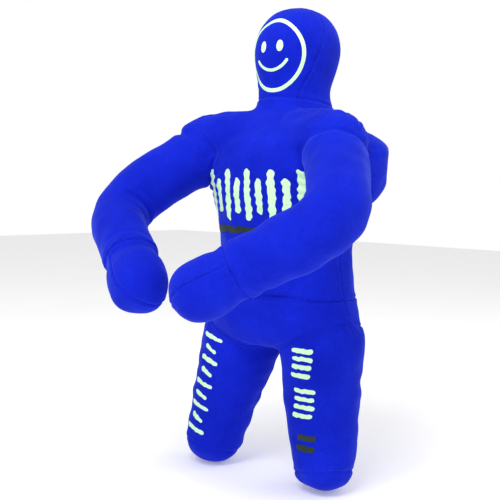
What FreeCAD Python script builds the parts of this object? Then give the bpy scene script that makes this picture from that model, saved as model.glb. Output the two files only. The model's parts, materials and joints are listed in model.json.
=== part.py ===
"""Child-size grappling dummy: stuffed, sewn, standing on two leg stumps with its arms in a hug.

Millimetres, +Z up.  The dummy faces -Y, its left side is +X, and the floor is at Z = 0 under the
middle of its bounding box.  Every limb is a closed sewn bag: a thin cover round a firm stuffing.
Each limb turns on a ball-shaped end that sits in a socket of the bag that carries it.
"""
import FreeCAD, Part
import os
from math import asin, cos, pi, radians, sin, sqrt

V = FreeCAD.Vector
X_AXIS = V(1, 0, 0)
Y_AXIS = V(0, 1, 0)
Z_AXIS = V(0, 0, 1)
SIDES = {"left": 1, "right": -1}

# ---- driving dimensions -------------------------------------------------------------------
BODY_Y = 132.0                      # the middle of the hips, behind the middle of the bounding box
CLOTH = 1.5                         # thickness of a cover
SEAM_GAP = 0.3                      # between a cover and its stuffing, and between two panels
JOINT_GAP = 2.2                     # between a ball end and its socket

WAIST_Z = 418.0                     # the waist seam, where the torso bends on the pelvis
WAIST_Y = BODY_Y + 24.0
SIDE_SEAM_Y = BODY_Y + 8.0          # the upright plane where front and back panels meet
WAIST_RELIEF_FRONT = 8.0            # degrees that each side of the waist is cut back, in front
WAIST_RELIEF_BACK = 4.5             # and behind

# (height, half width, half depth, distance of the middle behind the hips)
PELVIS_SECTIONS = [
    (302, 138, 84, 16),
    (316, 172, 110, 17),
    (343, 190, 124, 20),
    (378, 188, 126, 23),
    (WAIST_Z - 1, 176, 125, 25),
]
BACK_Y = 150.0                      # the back is straight along its zip, this far behind the hips
TORSO_SECTIONS = [
    (WAIST_Z + 1, 175, 125, BACK_Y - 125),
    (473, 165, 125, BACK_Y - 125),
    (538, 162, 126, BACK_Y - 126),
    (608, 176, 130, BACK_Y - 130),
    (673, 196, 133, BACK_Y - 133),
    (733, 202, 131, BACK_Y - 131),
    (783, 180, 116, BACK_Y - 120),
    (818, 132, 98, BACK_Y - 112),
    (846, 90, 86, 38),
]
BACK_LOBE = (160.0, 40.0, 710.0)    # the stuffed bulge behind each shoulder
BACK_LOBE_RADIUS = 92.0

NECK = (0.0, 41.0, 833.0)
NECK_RADIUS = 80.0
JAW = (0.0, 41.0, 911.0)
JAW_RADIUS = 79.0
CROWN = (0.0, 51.0, 976.0)
CROWN_RADIUS = 98.0
# (radius, share of the way from the neck's ball to the crown's ball)
HOOD_PROFILE = [(79.0, 0.24), (84.0, 0.54), (94.0, 0.82)]
HOOD_SEAM_LEAN = 17.0               # degrees that the hood's side seam leans back to the crown
HOOD_SEAM_Y = 43.0                  # where the seam crosses the crown, behind the hips

SHOULDER = (188.0, -52.0, 740.0)
SHOULDER_RADIUS = 69.0
ELBOW = (302.0, -220.0, 606.0)
ELBOW_RADIUS = 58.0
ARM_END_SETBACK = 28.0              # the sleeve stops this far short of the elbow's centre
HAND = (87.0, -354.0, 459.0)
WRIST_FROM_HAND = 81.0
WRIST_RADIUS = 55.0
HAND_RADIUS = 64.0

HIP = (116.0, 16.0, 308.0)
HIP_RADIUS = 96.0
FOOT = (165.0, -31.0, 48.0)
FOOT_RADIUS = 67.0
END_PANEL = 3.0                     # thickness of the round panel that closes each leg

# the poses, in degrees, that a socket is cleared for; 0 is the pose that is modelled
NECK_TURNS = (-15, 0, 20)
SHOULDER_TURNS = (0, 22, 45)
ELBOW_TURNS = (0,)
HIP_TURNS = (-10, 15, 40)
SWEEP_EXTRA = 1.5                   # the swept part of a socket is this much wider than its ball
SWEEP_START = 0.06                  # and starts at this share of the limb's length

ZIP_BOTTOM = 463.0
ZIP_TOP = 734.0
ZIP_GROOVE_HALF = 14.0
ZIP_GROOVE_DEPTH = 6.0
TAPE_THICKNESS = 1.2
COIL_HALF = 2.6
COIL_THICKNESS = 2.4
SLIDER_LENGTH = 13.0
SLIDER_HALF = 5.5
SLIDER_WALL = 1.2
PULL_LENGTH = 34.0
PULL_HALF = 4.5
PULL_THICKNESS = 1.8
PIN_RADIUS = 1.1
COIL_STOP = 2.0                     # the coil ends this far inside the tape
SLIDER_STOP = 4.0                   # and the slider stops this far inside it
SLIDER_SLACK = 0.4
PIN_STANDOFF = 1.6
PIN_INSET = 1.2
PIN_SLACK = 0.25
LUG_HALF = 1.4
LUG_HEIGHT = 6.0
LUG_REACH = 2.0
FORK_HALF = 1.8                     # half the slot between the pull's two ears
FORK_DEPTH = 4.2
EYE_WALL = 1.1
PULL_HOLE_RADIUS = 2.2
PULL_HOLE_FROM_END = 6.0

PRINT_LIFT = 0.05                   # a print starts this far outside its cover
PRINT_THICKNESS = 0.4
FACE_Z = 968.0
FACE_RING = (72.0, 64.0)            # outer and inner radius of the ring round the face
EYE_RADIUS = 8.0
EYE_HEIGHT = 18.0                   # of the eyes over the middle of the ring
EYE_SPREAD = 21.0
MOUTH_ARC = (36.0, 30.0)            # outer and inner radius
MOUTH_TOP = -12.0                   # the mouth's ends, under the middle of the ring
CHEST_PRINT_Z = 640.0
SLASH_PITCH = 34
SLASH_HALF_HEIGHT = 52.0
SLASH_LEAN = 7.0
SLASH_WIDTH = 15.0
SLASH_TAPER = 0.35
BLOCK_PRINT_Z = 563.0
BLOCK_PITCH = 24
BLOCK_HALF_LENGTH = 9.0
BLOCK_WIDTH = 16.0
# (across, height, width, height of the figure, thickness of its strokes)
PALE_ZIGZAGS = [(140, 286, 40, 62, 9), (150, 204, 40, 62, 9)]
DARK_ZIGZAG = (159, 114, 34, 50, 11)
RIGHT_ZIGZAGS = [(133, 314, 44, 50, 8), (142, 254, 44, 50, 8), (152, 194, 44, 50, 8), (162, 134, 44, 50, 8)]

FAR = 1500.0                        # larger than any part of the dummy


# ---- plain shapes -------------------------------------------------------------------------
def at(x, y, z, side=1):
    """A point given from the middle of the hips, on the dummy's left or mirrored to its right."""
    return V(side * x, y + BODY_Y, z)


def box(x0, x1, y0, y1, z0, z1):
    return Part.makeBox(x1 - x0, y1 - y0, z1 - z0, V(x0, y0, z0))


def capsule(start, start_radius, end, end_radius):
    """Two balls and the cone that touches both, as one solid of revolution from start to end."""
    axis = end.sub(start)
    length = axis.Length
    lean = asin((start_radius - end_radius) / length)

    def on(radius, centre, angle):
        return V(radius * cos(angle), 0, centre + radius * sin(angle))

    bottom = on(start_radius, 0, -pi / 2)
    lower = on(start_radius, 0, lean)
    upper = on(end_radius, length, lean)
    top = on(end_radius, length, pi / 2)
    outline = Part.Wire([
        Part.Arc(bottom, on(start_radius, 0, (lean - pi / 2) / 2), lower).toShape(),
        Part.makeLine(lower, upper),
        Part.Arc(upper, on(end_radius, length, (lean + pi / 2) / 2), top).toShape(),
        Part.makeLine(top, bottom),
    ])
    solid = Part.Face(outline).revolve(V(0, 0, 0), Z_AXIS, 360)
    solid.Placement = FreeCAD.Placement(start, FreeCAD.Rotation(Z_AXIS, axis))
    return solid


def socket(ends, clearance, axis, turns):
    """What a limb needs free in the bag that carries it: its ball, and its tube at each turn."""
    start, start_radius, end, end_radius = ends
    direction = end.sub(start)
    near_radius = start_radius + (end_radius - start_radius) * SWEEP_START
    spare = clearance + SWEEP_EXTRA
    tube = Part.makeCone(near_radius + spare, end_radius + spare,
                         direction.Length * (1 - SWEEP_START), start + direction * SWEEP_START,
                         direction)
    ball = Part.makeSphere(start_radius + clearance, start)
    return [ball] + [turned(tube, start, axis, angle) for angle in turns]


def loft(sections, inset):
    """A smooth body through level ellipses, made smaller all round by inset."""
    wires = []
    for index, (z, half_width, half_depth, y) in enumerate(sections):
        if index == 0:
            z += inset
        if index == len(sections) - 1:
            z -= inset
        ellipse = Part.Ellipse(at(0, y, z), half_width - inset, half_depth - inset)
        wires.append(Part.Wire(ellipse.toShape()))
    return Part.makeLoft(wires, True, False)


def turned(shape, centre, axis, angle):
    copy = shape.copy()
    copy.rotate(centre, axis, angle)
    return copy


def beyond(point, direction):
    """A large block that fills the space past a plane."""
    block = Part.makeBox(2 * FAR, 2 * FAR, 2 * FAR, V(-FAR, -FAR, 0))
    block.Placement = FreeCAD.Placement(point, FreeCAD.Rotation(Z_AXIS, direction)).multiply(
        block.Placement)
    return block


def shell(form):
    """The cover of a bag: its outer form less the same form a cloth's thickness smaller."""
    return form(0).cut(form(CLOTH))


def stuffing(form):
    """What fills a bag, a seam gap inside its cover."""
    return form(CLOTH + SEAM_GAP)


# ---- the bags -----------------------------------------------------------------------------
def leg_ends(side):
    return at(*HIP, side), HIP_RADIUS, at(*FOOT, side), FOOT_RADIUS


def upper_arm_ends(side):
    return at(*SHOULDER, side), SHOULDER_RADIUS, at(*ELBOW, side), ELBOW_RADIUS + 2


def forearm_ends(side):
    return at(*ELBOW, side), ELBOW_RADIUS, at(*wrist(), side), WRIST_RADIUS


def neck_ends():
    return at(*NECK), NECK_RADIUS, at(*JAW), JAW_RADIUS


def limb(ends, grow=0.0):
    start, start_radius, end, end_radius = ends
    return capsule(start, start_radius + grow, end, end_radius + grow)


def leg(side, inset=0.0):
    floor = END_PANEL + SEAM_GAP + inset
    return limb(leg_ends(side), -inset).cut(beyond(V(0, BODY_Y, floor), V(0, 0, -1)))


def leg_end_panel(side):
    above = beyond(V(0, BODY_Y, END_PANEL), Z_AXIS)
    below = beyond(V(0, BODY_Y, 0), V(0, 0, -1))
    return limb(leg_ends(side)).cut([above, below])


def wrist():
    hand = V(*HAND)
    back = V(*ELBOW).sub(hand).normalize()
    point = hand.add(back.multiply(WRIST_FROM_HAND))
    return (point.x, point.y, point.z)


def along(start, end, side):
    return at(*end, side).sub(at(*start, side)).normalize()


def upper_arm(side, inset=0.0):
    """The sleeve's upper bag, hollowed at its lower end for the ball of the forearm."""
    direction = along(SHOULDER, ELBOW, side)
    end = at(*ELBOW, side).sub(direction * (ARM_END_SETBACK + inset))
    sleeve = limb(upper_arm_ends(side), -inset).cut(beyond(end, direction))
    return sleeve.cut(socket(forearm_ends(side), JOINT_GAP + inset, Z_AXIS, ELBOW_TURNS))


def forearm(side, inset=0.0):
    direction = along(ELBOW, HAND, side)
    end = at(*wrist(), side).sub(direction * (SEAM_GAP / 2 + inset))
    return limb(forearm_ends(side), -inset).cut(beyond(end, direction))


def hand(side, inset=0.0):
    direction = along(ELBOW, HAND, side)
    start = at(*wrist(), side).add(direction * (SEAM_GAP / 2 + inset))
    heel = at(*wrist(), side)
    mitten = capsule(heel, WRIST_RADIUS - inset, at(*HAND, side), HAND_RADIUS - inset)
    return mitten.cut(beyond(start, direction * -1))


def head(inset=0.0):
    """The hood: a ball in the collar, a neck that swells into the head, and a round crown."""
    start = at(*NECK)
    axis = at(*CROWN).sub(start)
    low = NECK_RADIUS - inset
    high = CROWN_RADIUS - inset
    length = axis.Length
    side = Part.BSplineCurve()
    swell = [V(radius - inset, 0, share * length) for radius, share in HOOD_PROFILE]
    side.interpolate(Points=[V(low, 0, 0)] + swell + [V(high, 0, length)],
                     InitialTangent=Z_AXIS, FinalTangent=Z_AXIS)
    slant = sqrt(0.5)
    outline = Part.Wire([
        Part.Arc(V(0, 0, -low), V(low * slant, 0, -low * slant), V(low, 0, 0)).toShape(),
        side.toShape(),
        Part.Arc(V(high, 0, length), V(high * slant, 0, length + high * slant),
                 V(0, 0, length + high)).toShape(),
        Part.makeLine(V(0, 0, length + high), V(0, 0, -low)),
    ])
    solid = Part.Face(outline).revolve(V(0, 0, 0), Z_AXIS, 360)
    solid.Placement = FreeCAD.Placement(start, FreeCAD.Rotation(Z_AXIS, axis))
    return solid


def waist_planes(up, inset):
    """Blocks past the two sloping faces that meet at the waist's axis, seen from above or below."""
    sign = 1 if up else -1
    centre = V(0, WAIST_Y, WAIST_Z - sign * (1 + inset))
    blocks = []
    for toward, relief in ((-1, WAIST_RELIEF_FRONT), (1, WAIST_RELIEF_BACK)):
        slope = radians(relief)
        blocks.append(beyond(centre, V(0, toward * sin(slope), sign * cos(slope))))
    return blocks


def pelvis(inset=0.0):
    tools = waist_planes(True, inset)
    for side in SIDES.values():
        tools += socket(leg_ends(side), JOINT_GAP + inset, X_AXIS * -1, HIP_TURNS)
    return biggest(loft(PELVIS_SECTIONS, inset).cut(tools))


def torso(inset=0.0):
    body = loft(TORSO_SECTIONS, inset)
    body = body.fuse([Part.makeSphere(BACK_LOBE_RADIUS - inset, at(*BACK_LOBE, side))
                      for side in SIDES.values()])
    tools = waist_planes(False, inset)
    tools += socket(neck_ends(), JOINT_GAP + inset, X_AXIS, NECK_TURNS)
    for side in SIDES.values():
        tools += socket(upper_arm_ends(side), JOINT_GAP + inset, Z_AXIS * side, SHOULDER_TURNS)
    back = BODY_Y + BACK_Y
    depth = ZIP_GROOVE_DEPTH + inset
    half = ZIP_GROOVE_HALF + inset
    tools.append(box(-half, half, back - depth, back + FAR, ZIP_BOTTOM - inset, ZIP_TOP + inset))
    return biggest(body.cut(tools))


def biggest(shape):
    return max(shape.Solids, key=lambda solid: solid.Volume)


# ---- panels, zip and prints ---------------------------------------------------------------
def save(name, shape):
    solids = shape.Solids
    assert solids and shape.isValid(), name
    kept = solids[0] if len(solids) == 1 else Part.Compound(solids)
    kept.exportStep(f"parts/{name}.step")
    print(f"{name:32s} {len(solids):2d} {kept.Volume / 1e3:9.1f} cm3")


def split(cover, point, direction):
    """A cover parted by a plane, with half a seam gap on each side."""
    half_gap = direction * (SEAM_GAP / 2)
    before = cover.cut(beyond(point.sub(half_gap), direction))
    past = cover.cut(beyond(point.add(half_gap), direction * -1))
    return before, past


def save_pelvis():
    front, back = split(shell(pelvis), V(0, SIDE_SEAM_Y, 0), Y_AXIS)
    save("pelvis_front_panel", front)
    save("pelvis_back_panel", back)
    save("pelvis_stuffing", stuffing(pelvis))


def save_torso():
    front, back = split(shell(torso), V(0, SIDE_SEAM_Y, 0), Y_AXIS)
    right, left = split(back, V(0, 0, 0), X_AXIS)
    save("chest_front_panel", front)
    save("back_panel_left", left)
    save("back_panel_right", right)
    save("torso_stuffing", stuffing(torso))


def save_head():
    lean = radians(HOOD_SEAM_LEAN)
    crown = at(0, HOOD_SEAM_Y, CROWN[2] + CROWN_RADIUS)
    front, back = split(shell(head), crown, V(0, cos(lean), -sin(lean)))
    save("hood_face_panel", front)
    save("hood_back_panel", back)
    save("head_stuffing", stuffing(head))


def save_arms():
    for name, side in SIDES.items():
        save(f"upper_arm_cover_{name}", shell(lambda inset: upper_arm(side, inset)))
        save(f"upper_arm_stuffing_{name}", stuffing(lambda inset: upper_arm(side, inset)))
        save(f"forearm_cover_{name}", shell(lambda inset: forearm(side, inset)))
        save(f"forearm_stuffing_{name}", stuffing(lambda inset: forearm(side, inset)))
        palm_side = along(ELBOW, HAND, side).cross(X_AXIS).normalize()
        mitten = shell(lambda inset: hand(side, inset))
        lower, upper = split(mitten, at(*HAND, side), palm_side * (1 if palm_side.z > 0 else -1))
        save(f"hand_upper_panel_{name}", upper)
        save(f"hand_lower_panel_{name}", lower)
        save(f"hand_stuffing_{name}", stuffing(lambda inset: hand(side, inset)))


def save_legs():
    for name, side in SIDES.items():
        save(f"leg_cover_{name}", shell(lambda inset: leg(side, inset)))
        save(f"leg_end_panel_{name}", leg_end_panel(side))
        save(f"leg_stuffing_{name}", stuffing(lambda inset: leg(side, inset)))


def save_zip():
    floor = BODY_Y + BACK_Y - ZIP_GROOVE_DEPTH + SEAM_GAP
    tape_top = floor + TAPE_THICKNESS
    low = ZIP_BOTTOM + SEAM_GAP
    high = ZIP_TOP - SEAM_GAP
    edge = ZIP_GROOVE_HALF - SEAM_GAP
    save("zip_tape_left", box(SEAM_GAP / 2, edge, floor, tape_top, low, high))
    save("zip_tape_right", box(-edge, -SEAM_GAP / 2, floor, tape_top, low, high))
    coil_back = tape_top + COIL_THICKNESS
    save("zip_coil", box(-COIL_HALF, COIL_HALF, tape_top, coil_back, low + COIL_STOP, high - COIL_STOP))
    save_slider(tape_top, coil_back, high - SLIDER_STOP)


def save_slider(tape_top, coil_back, top):
    """A short channel that the coil runs through, and the pull that hangs from its pin."""
    bottom = top - SLIDER_LENGTH
    back = coil_back + SLIDER_SLACK + SLIDER_WALL
    front = tape_top + SLIDER_SLACK
    block = box(-SLIDER_HALF, SLIDER_HALF, front, back, bottom, top)
    channel_half = COIL_HALF + SLIDER_SLACK
    channel = box(-channel_half, channel_half, front - 1, coil_back + SLIDER_SLACK, bottom - 1, top + 1)
    pin_y = back + PIN_RADIUS + PIN_STANDOFF
    pin_z = (bottom + top) / 2
    pin_half = PULL_HALF - PIN_INSET
    lug = box(-LUG_HALF, LUG_HALF, back, pin_y + LUG_REACH, pin_z - LUG_HEIGHT / 2, pin_z + LUG_HEIGHT / 2)
    pin = Part.makeCylinder(PIN_RADIUS, 2 * pin_half, V(-pin_half, pin_y, pin_z), X_AXIS)
    save("zip_slider", block.cut(channel).fuse([lug, pin]).removeSplitter())

    half = PULL_THICKNESS / 2
    reach = 3 * LUG_REACH
    bore = Part.makeCylinder(PIN_RADIUS + PIN_SLACK, 4 * PULL_HALF, V(-2 * PULL_HALF, pin_y, pin_z), X_AXIS)
    hole = Part.makeCylinder(PULL_HOLE_RADIUS, 2 * reach,
                             V(0, pin_y - reach, pin_z - PULL_LENGTH + PULL_HOLE_FROM_END), Y_AXIS)
    slot = box(-FORK_HALF, FORK_HALF, pin_y - reach, pin_y + reach, pin_z - FORK_DEPTH, pin_z + reach)
    tab = box(-PULL_HALF, PULL_HALF, pin_y - half, pin_y + half, pin_z - PULL_LENGTH, pin_z + LUG_REACH)
    tab = tab.cut([slot, bore, hole])
    eyes = []
    for x in (-PULL_HALF, FORK_HALF):
        eye = Part.makeCylinder(PIN_RADIUS + EYE_WALL, PULL_HALF - FORK_HALF, V(x, pin_y, pin_z), X_AXIS)
        eyes.append(eye.cut(bore))
    save("zip_pull", tab.fuse(eyes).removeSplitter())


def film(form):
    """A thin layer just outside a cover, that the printed shapes are cut from."""
    return form(-PRINT_LIFT - PRINT_THICKNESS).cut(form(-PRINT_LIFT))


def stroke(x0, z0, x1, z1, width, ends=1.0):
    """A slanted bar in the XZ plane, thrown forward through the dummy's front."""
    run = V(x1 - x0, 0, z1 - z0)
    across = V(-run.z, 0, run.x).normalize() * (width / 2)
    a = V(x0, -FAR, z0)
    b = V(x1, -FAR, z1)
    corners = [a.add(across), b.add(across * ends), b.sub(across * ends), a.sub(across)]
    return Part.Face(Part.makePolygon(corners + corners[:1])).extrude(V(0, FAR + BODY_Y, 0))


def zigzag(x, z, width, height, thickness):
    """Three strokes that make one rising zigzag round a middle point."""
    left = x - width / 2
    right = x + width / 2
    levels = [z + height / 2, z + height / 6, z - height / 6, z - height / 2]
    ends = [left, right, left, right]
    bars = [stroke(ends[i], levels[i], ends[i + 1], levels[i + 1], thickness) for i in range(3)]
    return bars[0].fuse(bars[1:])


def save_face_print():
    forward = V(0, -1, 0)
    middle_y = at(0, CROWN[1], FACE_Z).y

    def disc(radius, x, z):
        return Part.makeCylinder(radius, FAR, V(x, middle_y, z), forward)

    outer, inner = FACE_RING
    ring = disc(outer, 0, FACE_Z).cut(disc(inner, 0, FACE_Z))
    eyes = [disc(EYE_RADIUS, x, FACE_Z + EYE_HEIGHT) for x in (-EYE_SPREAD, EYE_SPREAD)]
    outer, inner = MOUTH_ARC
    over = box(-FAR, FAR, -FAR, FAR, FACE_Z + MOUTH_TOP, FACE_Z + FAR)
    mouth = disc(outer, 0, FACE_Z).cut([disc(inner, 0, FACE_Z), over])
    save("face_print", film(head).common(ring.fuse(eyes + [mouth])))


def save_chest_prints():
    chest = film(lambda inset: loft(TORSO_SECTIONS, inset))
    low = CHEST_PRINT_Z - SLASH_HALF_HEIGHT
    high = CHEST_PRINT_Z + SLASH_HALF_HEIGHT
    slashes = [stroke(x - SLASH_LEAN, high, x + SLASH_LEAN, low, SLASH_WIDTH, SLASH_TAPER)
               for x in range(-3 * SLASH_PITCH, 4 * SLASH_PITCH, SLASH_PITCH)]
    save("chest_slash_print", chest.common(slashes[0].fuse(slashes[1:])))
    blocks = [stroke(x - BLOCK_HALF_LENGTH, BLOCK_PRINT_Z, x + BLOCK_HALF_LENGTH, BLOCK_PRINT_Z, BLOCK_WIDTH)
              for x in range(-3 * BLOCK_PITCH, 4 * BLOCK_PITCH, BLOCK_PITCH)]
    save("chest_block_print", chest.common(blocks[0].fuse(blocks[1:])))


def save_leg_prints():
    left_thigh = film(lambda inset: limb(leg_ends(1), -inset))
    pale = [zigzag(*figure) for figure in PALE_ZIGZAGS]
    save("left_leg_pale_print", left_thigh.common(pale[0].fuse(pale[1:])))
    save("left_leg_dark_print", left_thigh.common(zigzag(*DARK_ZIGZAG)))
    right_thigh = film(lambda inset: limb(leg_ends(-1), -inset))
    chain = [zigzag(-across, *rest) for across, *rest in RIGHT_ZIGZAGS]
    save("right_leg_print", right_thigh.common(chain[0].fuse(chain[1:])))


def main():
    os.makedirs("parts", exist_ok=True)
    save_pelvis()
    save_torso()
    save_head()
    save_arms()
    save_legs()
    save_zip()
    save_face_print()
    save_chest_prints()
    save_leg_prints()


main()
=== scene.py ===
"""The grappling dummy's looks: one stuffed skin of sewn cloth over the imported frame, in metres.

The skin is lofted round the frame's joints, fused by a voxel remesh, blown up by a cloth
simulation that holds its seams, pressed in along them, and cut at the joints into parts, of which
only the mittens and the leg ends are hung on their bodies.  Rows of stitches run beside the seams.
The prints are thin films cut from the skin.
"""
import json
import math

import bmesh
import bpy
import numpy as np
from mathutils import Matrix, Vector


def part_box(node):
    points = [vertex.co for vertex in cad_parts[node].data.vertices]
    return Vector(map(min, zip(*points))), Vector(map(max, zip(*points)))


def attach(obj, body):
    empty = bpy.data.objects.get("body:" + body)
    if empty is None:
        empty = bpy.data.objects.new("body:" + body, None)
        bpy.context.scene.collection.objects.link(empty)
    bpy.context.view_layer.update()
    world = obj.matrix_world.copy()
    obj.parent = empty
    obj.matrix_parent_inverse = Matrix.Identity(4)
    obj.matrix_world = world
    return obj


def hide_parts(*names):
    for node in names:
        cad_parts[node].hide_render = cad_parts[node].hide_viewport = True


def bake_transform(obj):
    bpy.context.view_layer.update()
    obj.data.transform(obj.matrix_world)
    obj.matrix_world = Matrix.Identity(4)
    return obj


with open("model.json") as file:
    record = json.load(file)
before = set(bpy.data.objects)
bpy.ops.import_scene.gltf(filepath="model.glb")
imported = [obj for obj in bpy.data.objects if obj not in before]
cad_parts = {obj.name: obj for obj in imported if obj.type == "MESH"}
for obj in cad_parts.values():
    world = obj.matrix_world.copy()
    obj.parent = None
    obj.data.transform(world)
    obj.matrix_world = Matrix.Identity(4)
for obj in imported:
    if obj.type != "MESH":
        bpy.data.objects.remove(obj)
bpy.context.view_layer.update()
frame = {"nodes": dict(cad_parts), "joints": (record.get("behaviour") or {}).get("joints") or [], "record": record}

JOINT = {j["name"]: Vector(j["pos_m"]) for j in frame["joints"] if "pos_m" in j}
SIDES = {"left": 1.0, "right": -1.0}

# ---- places read from the frame, on the dummy's left ----
SHOULDER = JOINT["shoulder_open_left"]
ELBOW = JOINT["elbow_open_left"]
HIP = JOINT["hip_bend_left"]
WAIST_Z = JOINT["waist_bend"].z
HIPS_Y = HIP.y - 0.016
HAND_RADIUS = 0.0622  # of the stuffing inside the mitten
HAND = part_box("hand_stuffing_left")[0] + Vector((HAND_RADIUS, HAND_RADIUS, HAND_RADIUS))
FOOT = Vector(next(m["pos_m"] for m in frame["record"]["mounts"] if m["name"] == "foot_left"))
FOOT.z = 0.048  # the middle of the ball at the leg's end
ARM_DIRECTION = (ELBOW - SHOULDER).normalized()
HAND_DIRECTION = (HAND - ELBOW).normalized()
LEG_DIRECTION = (FOOT - HIP).normalized()
WRIST = HAND - HAND_DIRECTION * 0.081
LEG_END = FOOT + LEG_DIRECTION * 0.002  # where the seam of the leg's end crosses its middle
TAPE_LOW, TAPE_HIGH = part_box("zip_tape_left")
PULL_BACK_Y = JOINT["zip_pull_swing"].y - 0.0022  # the side of the pull that faces the back

FAR = 9.0  # stands for a distance that was not worked out
VOXEL = 0.005  # of the remesh that fuses the forms
RING = 96  # points round a lofted ring
LEG_BEND_START = 0.303  # height of the cut between a leg's part and the body
NECK_BEND_START = 0.845  # height of the cut between the hood's part and the body
LEG_BEND = Vector((0.342, 0, -0.940))  # the way a leg leaves the hips
LOWER_SLEEVE_START = 0.146  # from the shoulder, along the arm


# ---- mesh tools ----
def new_object(name, data):
    thing = bpy.data.objects.new(name, data)
    bpy.context.scene.collection.objects.link(thing)
    return thing


def new_piece(name, vertices, faces):
    mesh = bpy.data.meshes.new(name)
    mesh.from_pydata([tuple(v) for v in vertices], [], faces)
    mesh.update()
    return new_object(name, mesh)


def shade_smooth(piece):
    piece.data.polygons.foreach_set("use_smooth", np.ones(len(piece.data.polygons), bool))


def stack_rings(name, rings):
    """A closed mesh through rings of points, with a fan over each end."""
    count = len(rings[0])
    vertices = [p for ring in rings for p in ring]
    faces = []
    for r in range(len(rings) - 1):
        for i in range(count):
            j = (i + 1) % count
            faces.append((r * count + i, r * count + j, (r + 1) * count + j, (r + 1) * count + i))
    for first in (0, (len(rings) - 1) * count):
        centre = len(vertices)
        vertices.append(sum((Vector(p) for p in vertices[first:first + count]), Vector()) / count)
        for i in range(count):
            a, b = first + i, first + (i + 1) % count
            faces.append((centre, b, a) if first == 0 else (centre, a, b))
    return new_piece(name, vertices, faces)


def read_vectors(source, key):
    values = np.empty(len(source) * 3, np.float32)
    source.foreach_get(key, values)
    return values.reshape(-1, 3).astype(float)


def points_of(piece):
    return read_vectors(piece.data.vertices, "co")


def set_points(piece, co):
    piece.data.vertices.foreach_set("co", np.asarray(co, np.float32).ravel())
    piece.data.update()


def normals_of(piece):
    return read_vectors(piece.data.vertices, "normal")


def apply_modifiers(piece):
    graph = bpy.context.evaluated_depsgraph_get()
    mesh = bpy.data.meshes.new_from_object(piece.evaluated_get(graph), depsgraph=graph)
    piece.modifiers.clear()
    piece.data = mesh


def fuse(name, pieces):
    """One closed skin round overlapping closed meshes."""
    work = bmesh.new()
    for piece in pieces:
        work.from_mesh(piece.data)
        bpy.data.objects.remove(piece)
    mesh = bpy.data.meshes.new(name)
    work.to_mesh(mesh)
    work.free()
    skin = new_object(name, mesh)
    remesh = skin.modifiers.new("remesh", "REMESH")
    remesh.mode = "VOXEL"
    remesh.voxel_size = VOXEL
    apply_modifiers(skin)
    return skin


def relax(piece, times, factor=0.5):
    """Moves each point towards the middle of its neighbours."""
    mesh = piece.data
    edges = np.empty(len(mesh.edges) * 2, np.int64)
    mesh.edges.foreach_get("vertices", edges)
    a, b = edges.reshape(-1, 2).T
    co = points_of(piece)
    count = np.bincount(a, minlength=len(co)) + np.bincount(b, minlength=len(co))
    for _ in range(times):
        total = np.stack([np.bincount(a, co[b, k], len(co)) + np.bincount(b, co[a, k], len(co))
                          for k in range(3)], axis=1)
        co += (total / count[:, None] - co) * factor
    set_points(piece, co)


# ---- forms ----
# (height, half width, front, back), front and back counted from the middle of the hips
TRUNK = [
    (0.301, 0.120, -0.058, 0.090),
    (0.316, 0.164, -0.086, 0.128),
    (0.343, 0.188, -0.101, 0.144),
    (0.378, 0.188, -0.104, 0.151),
    (0.418, 0.176, -0.101, 0.152),
    (0.473, 0.167, -0.100, 0.150),
    (0.538, 0.163, -0.102, 0.150),
    (0.608, 0.172, -0.110, 0.148),
    (0.673, 0.190, -0.115, 0.146),
    (0.733, 0.198, -0.110, 0.140),
    (0.770, 0.188, -0.094, 0.131),
    (0.798, 0.162, -0.070, 0.125),
    (0.820, 0.124, -0.050, 0.121),
    (0.838, 0.095, -0.042, 0.119),
    (0.863, 0.080, -0.038, 0.119),
]
HOOD = [
    (0.818, 0.080, -0.038, 0.120),
    (0.858, 0.079, -0.036, 0.119),
    (0.884, 0.080, -0.037, 0.122),
    (0.908, 0.084, -0.040, 0.130),
    (0.933, 0.090, -0.045, 0.140),
    (0.958, 0.094, -0.048, 0.148),
    (0.983, 0.0955, -0.047, 0.151),
    (1.008, 0.092, -0.041, 0.147),
    (1.030, 0.083, -0.029, 0.137),
    (1.048, 0.069, -0.013, 0.121),
    (1.061, 0.051, 0.005, 0.102),
    (1.069, 0.030, 0.025, 0.080),
    (1.0725, 0.012, 0.041, 0.063),
]
SQUARENESS = 2.2  # 2 is an ellipse; more is a rounded rectangle


def eased(sections, steps=4):
    """More sections between the given ones, on smooth curves."""
    table = np.array(sections)
    fine = np.linspace(0, len(table) - 1, (len(table) - 1) * steps + 1)
    k = np.minimum(fine.astype(int), len(table) - 2)
    t = fine - k
    out = []
    for column in table.T:
        slope = np.gradient(column)
        out.append((2 * t**3 - 3 * t**2 + 1) * column[k] + (t**3 - 2 * t**2 + t) * slope[k]
                   + (3 * t**2 - 2 * t**3) * column[k + 1] + (t**3 - t**2) * slope[k + 1])
    return np.array(out).T


def body(x, y, z):
    """A point given from the middle of the hips."""
    return Vector((x, HIPS_Y + y, z))


def section_mesh(name, sections):
    rings = []
    for z, half_width, front, back in eased(sections):
        ring = []
        for i in range(RING):
            c, s = math.cos(2 * math.pi * i / RING), math.sin(2 * math.pi * i / RING)
            swell = (abs(c) ** SQUARENESS + abs(s) ** SQUARENESS) ** (-1 / SQUARENESS)
            y = (front + back) / 2 + (back - front) / 2 * s * swell
            ring.append(body(half_width * c * swell, y, z))
        rings.append(ring)
    return stack_rings(name, rings)


def section_field(points, sections):
    """How far outside a stack of sections each point lies."""
    table = eased(sections)
    z = points[:, 2]
    width, front, back = (np.interp(z, table[:, 0], table[:, k]) for k in (1, 2, 3))
    depth = (back - front) / 2
    y = points[:, 1] - HIPS_Y - (front + back) / 2
    r = (np.abs(points[:, 0] / width) ** SQUARENESS
         + np.abs(y / depth) ** SQUARENESS) ** (1 / SQUARENESS)
    gap = (r - 1) * np.minimum(width, depth)
    return np.maximum(gap, np.maximum(table[0, 0] - z, z - table[-1, 0]))


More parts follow.
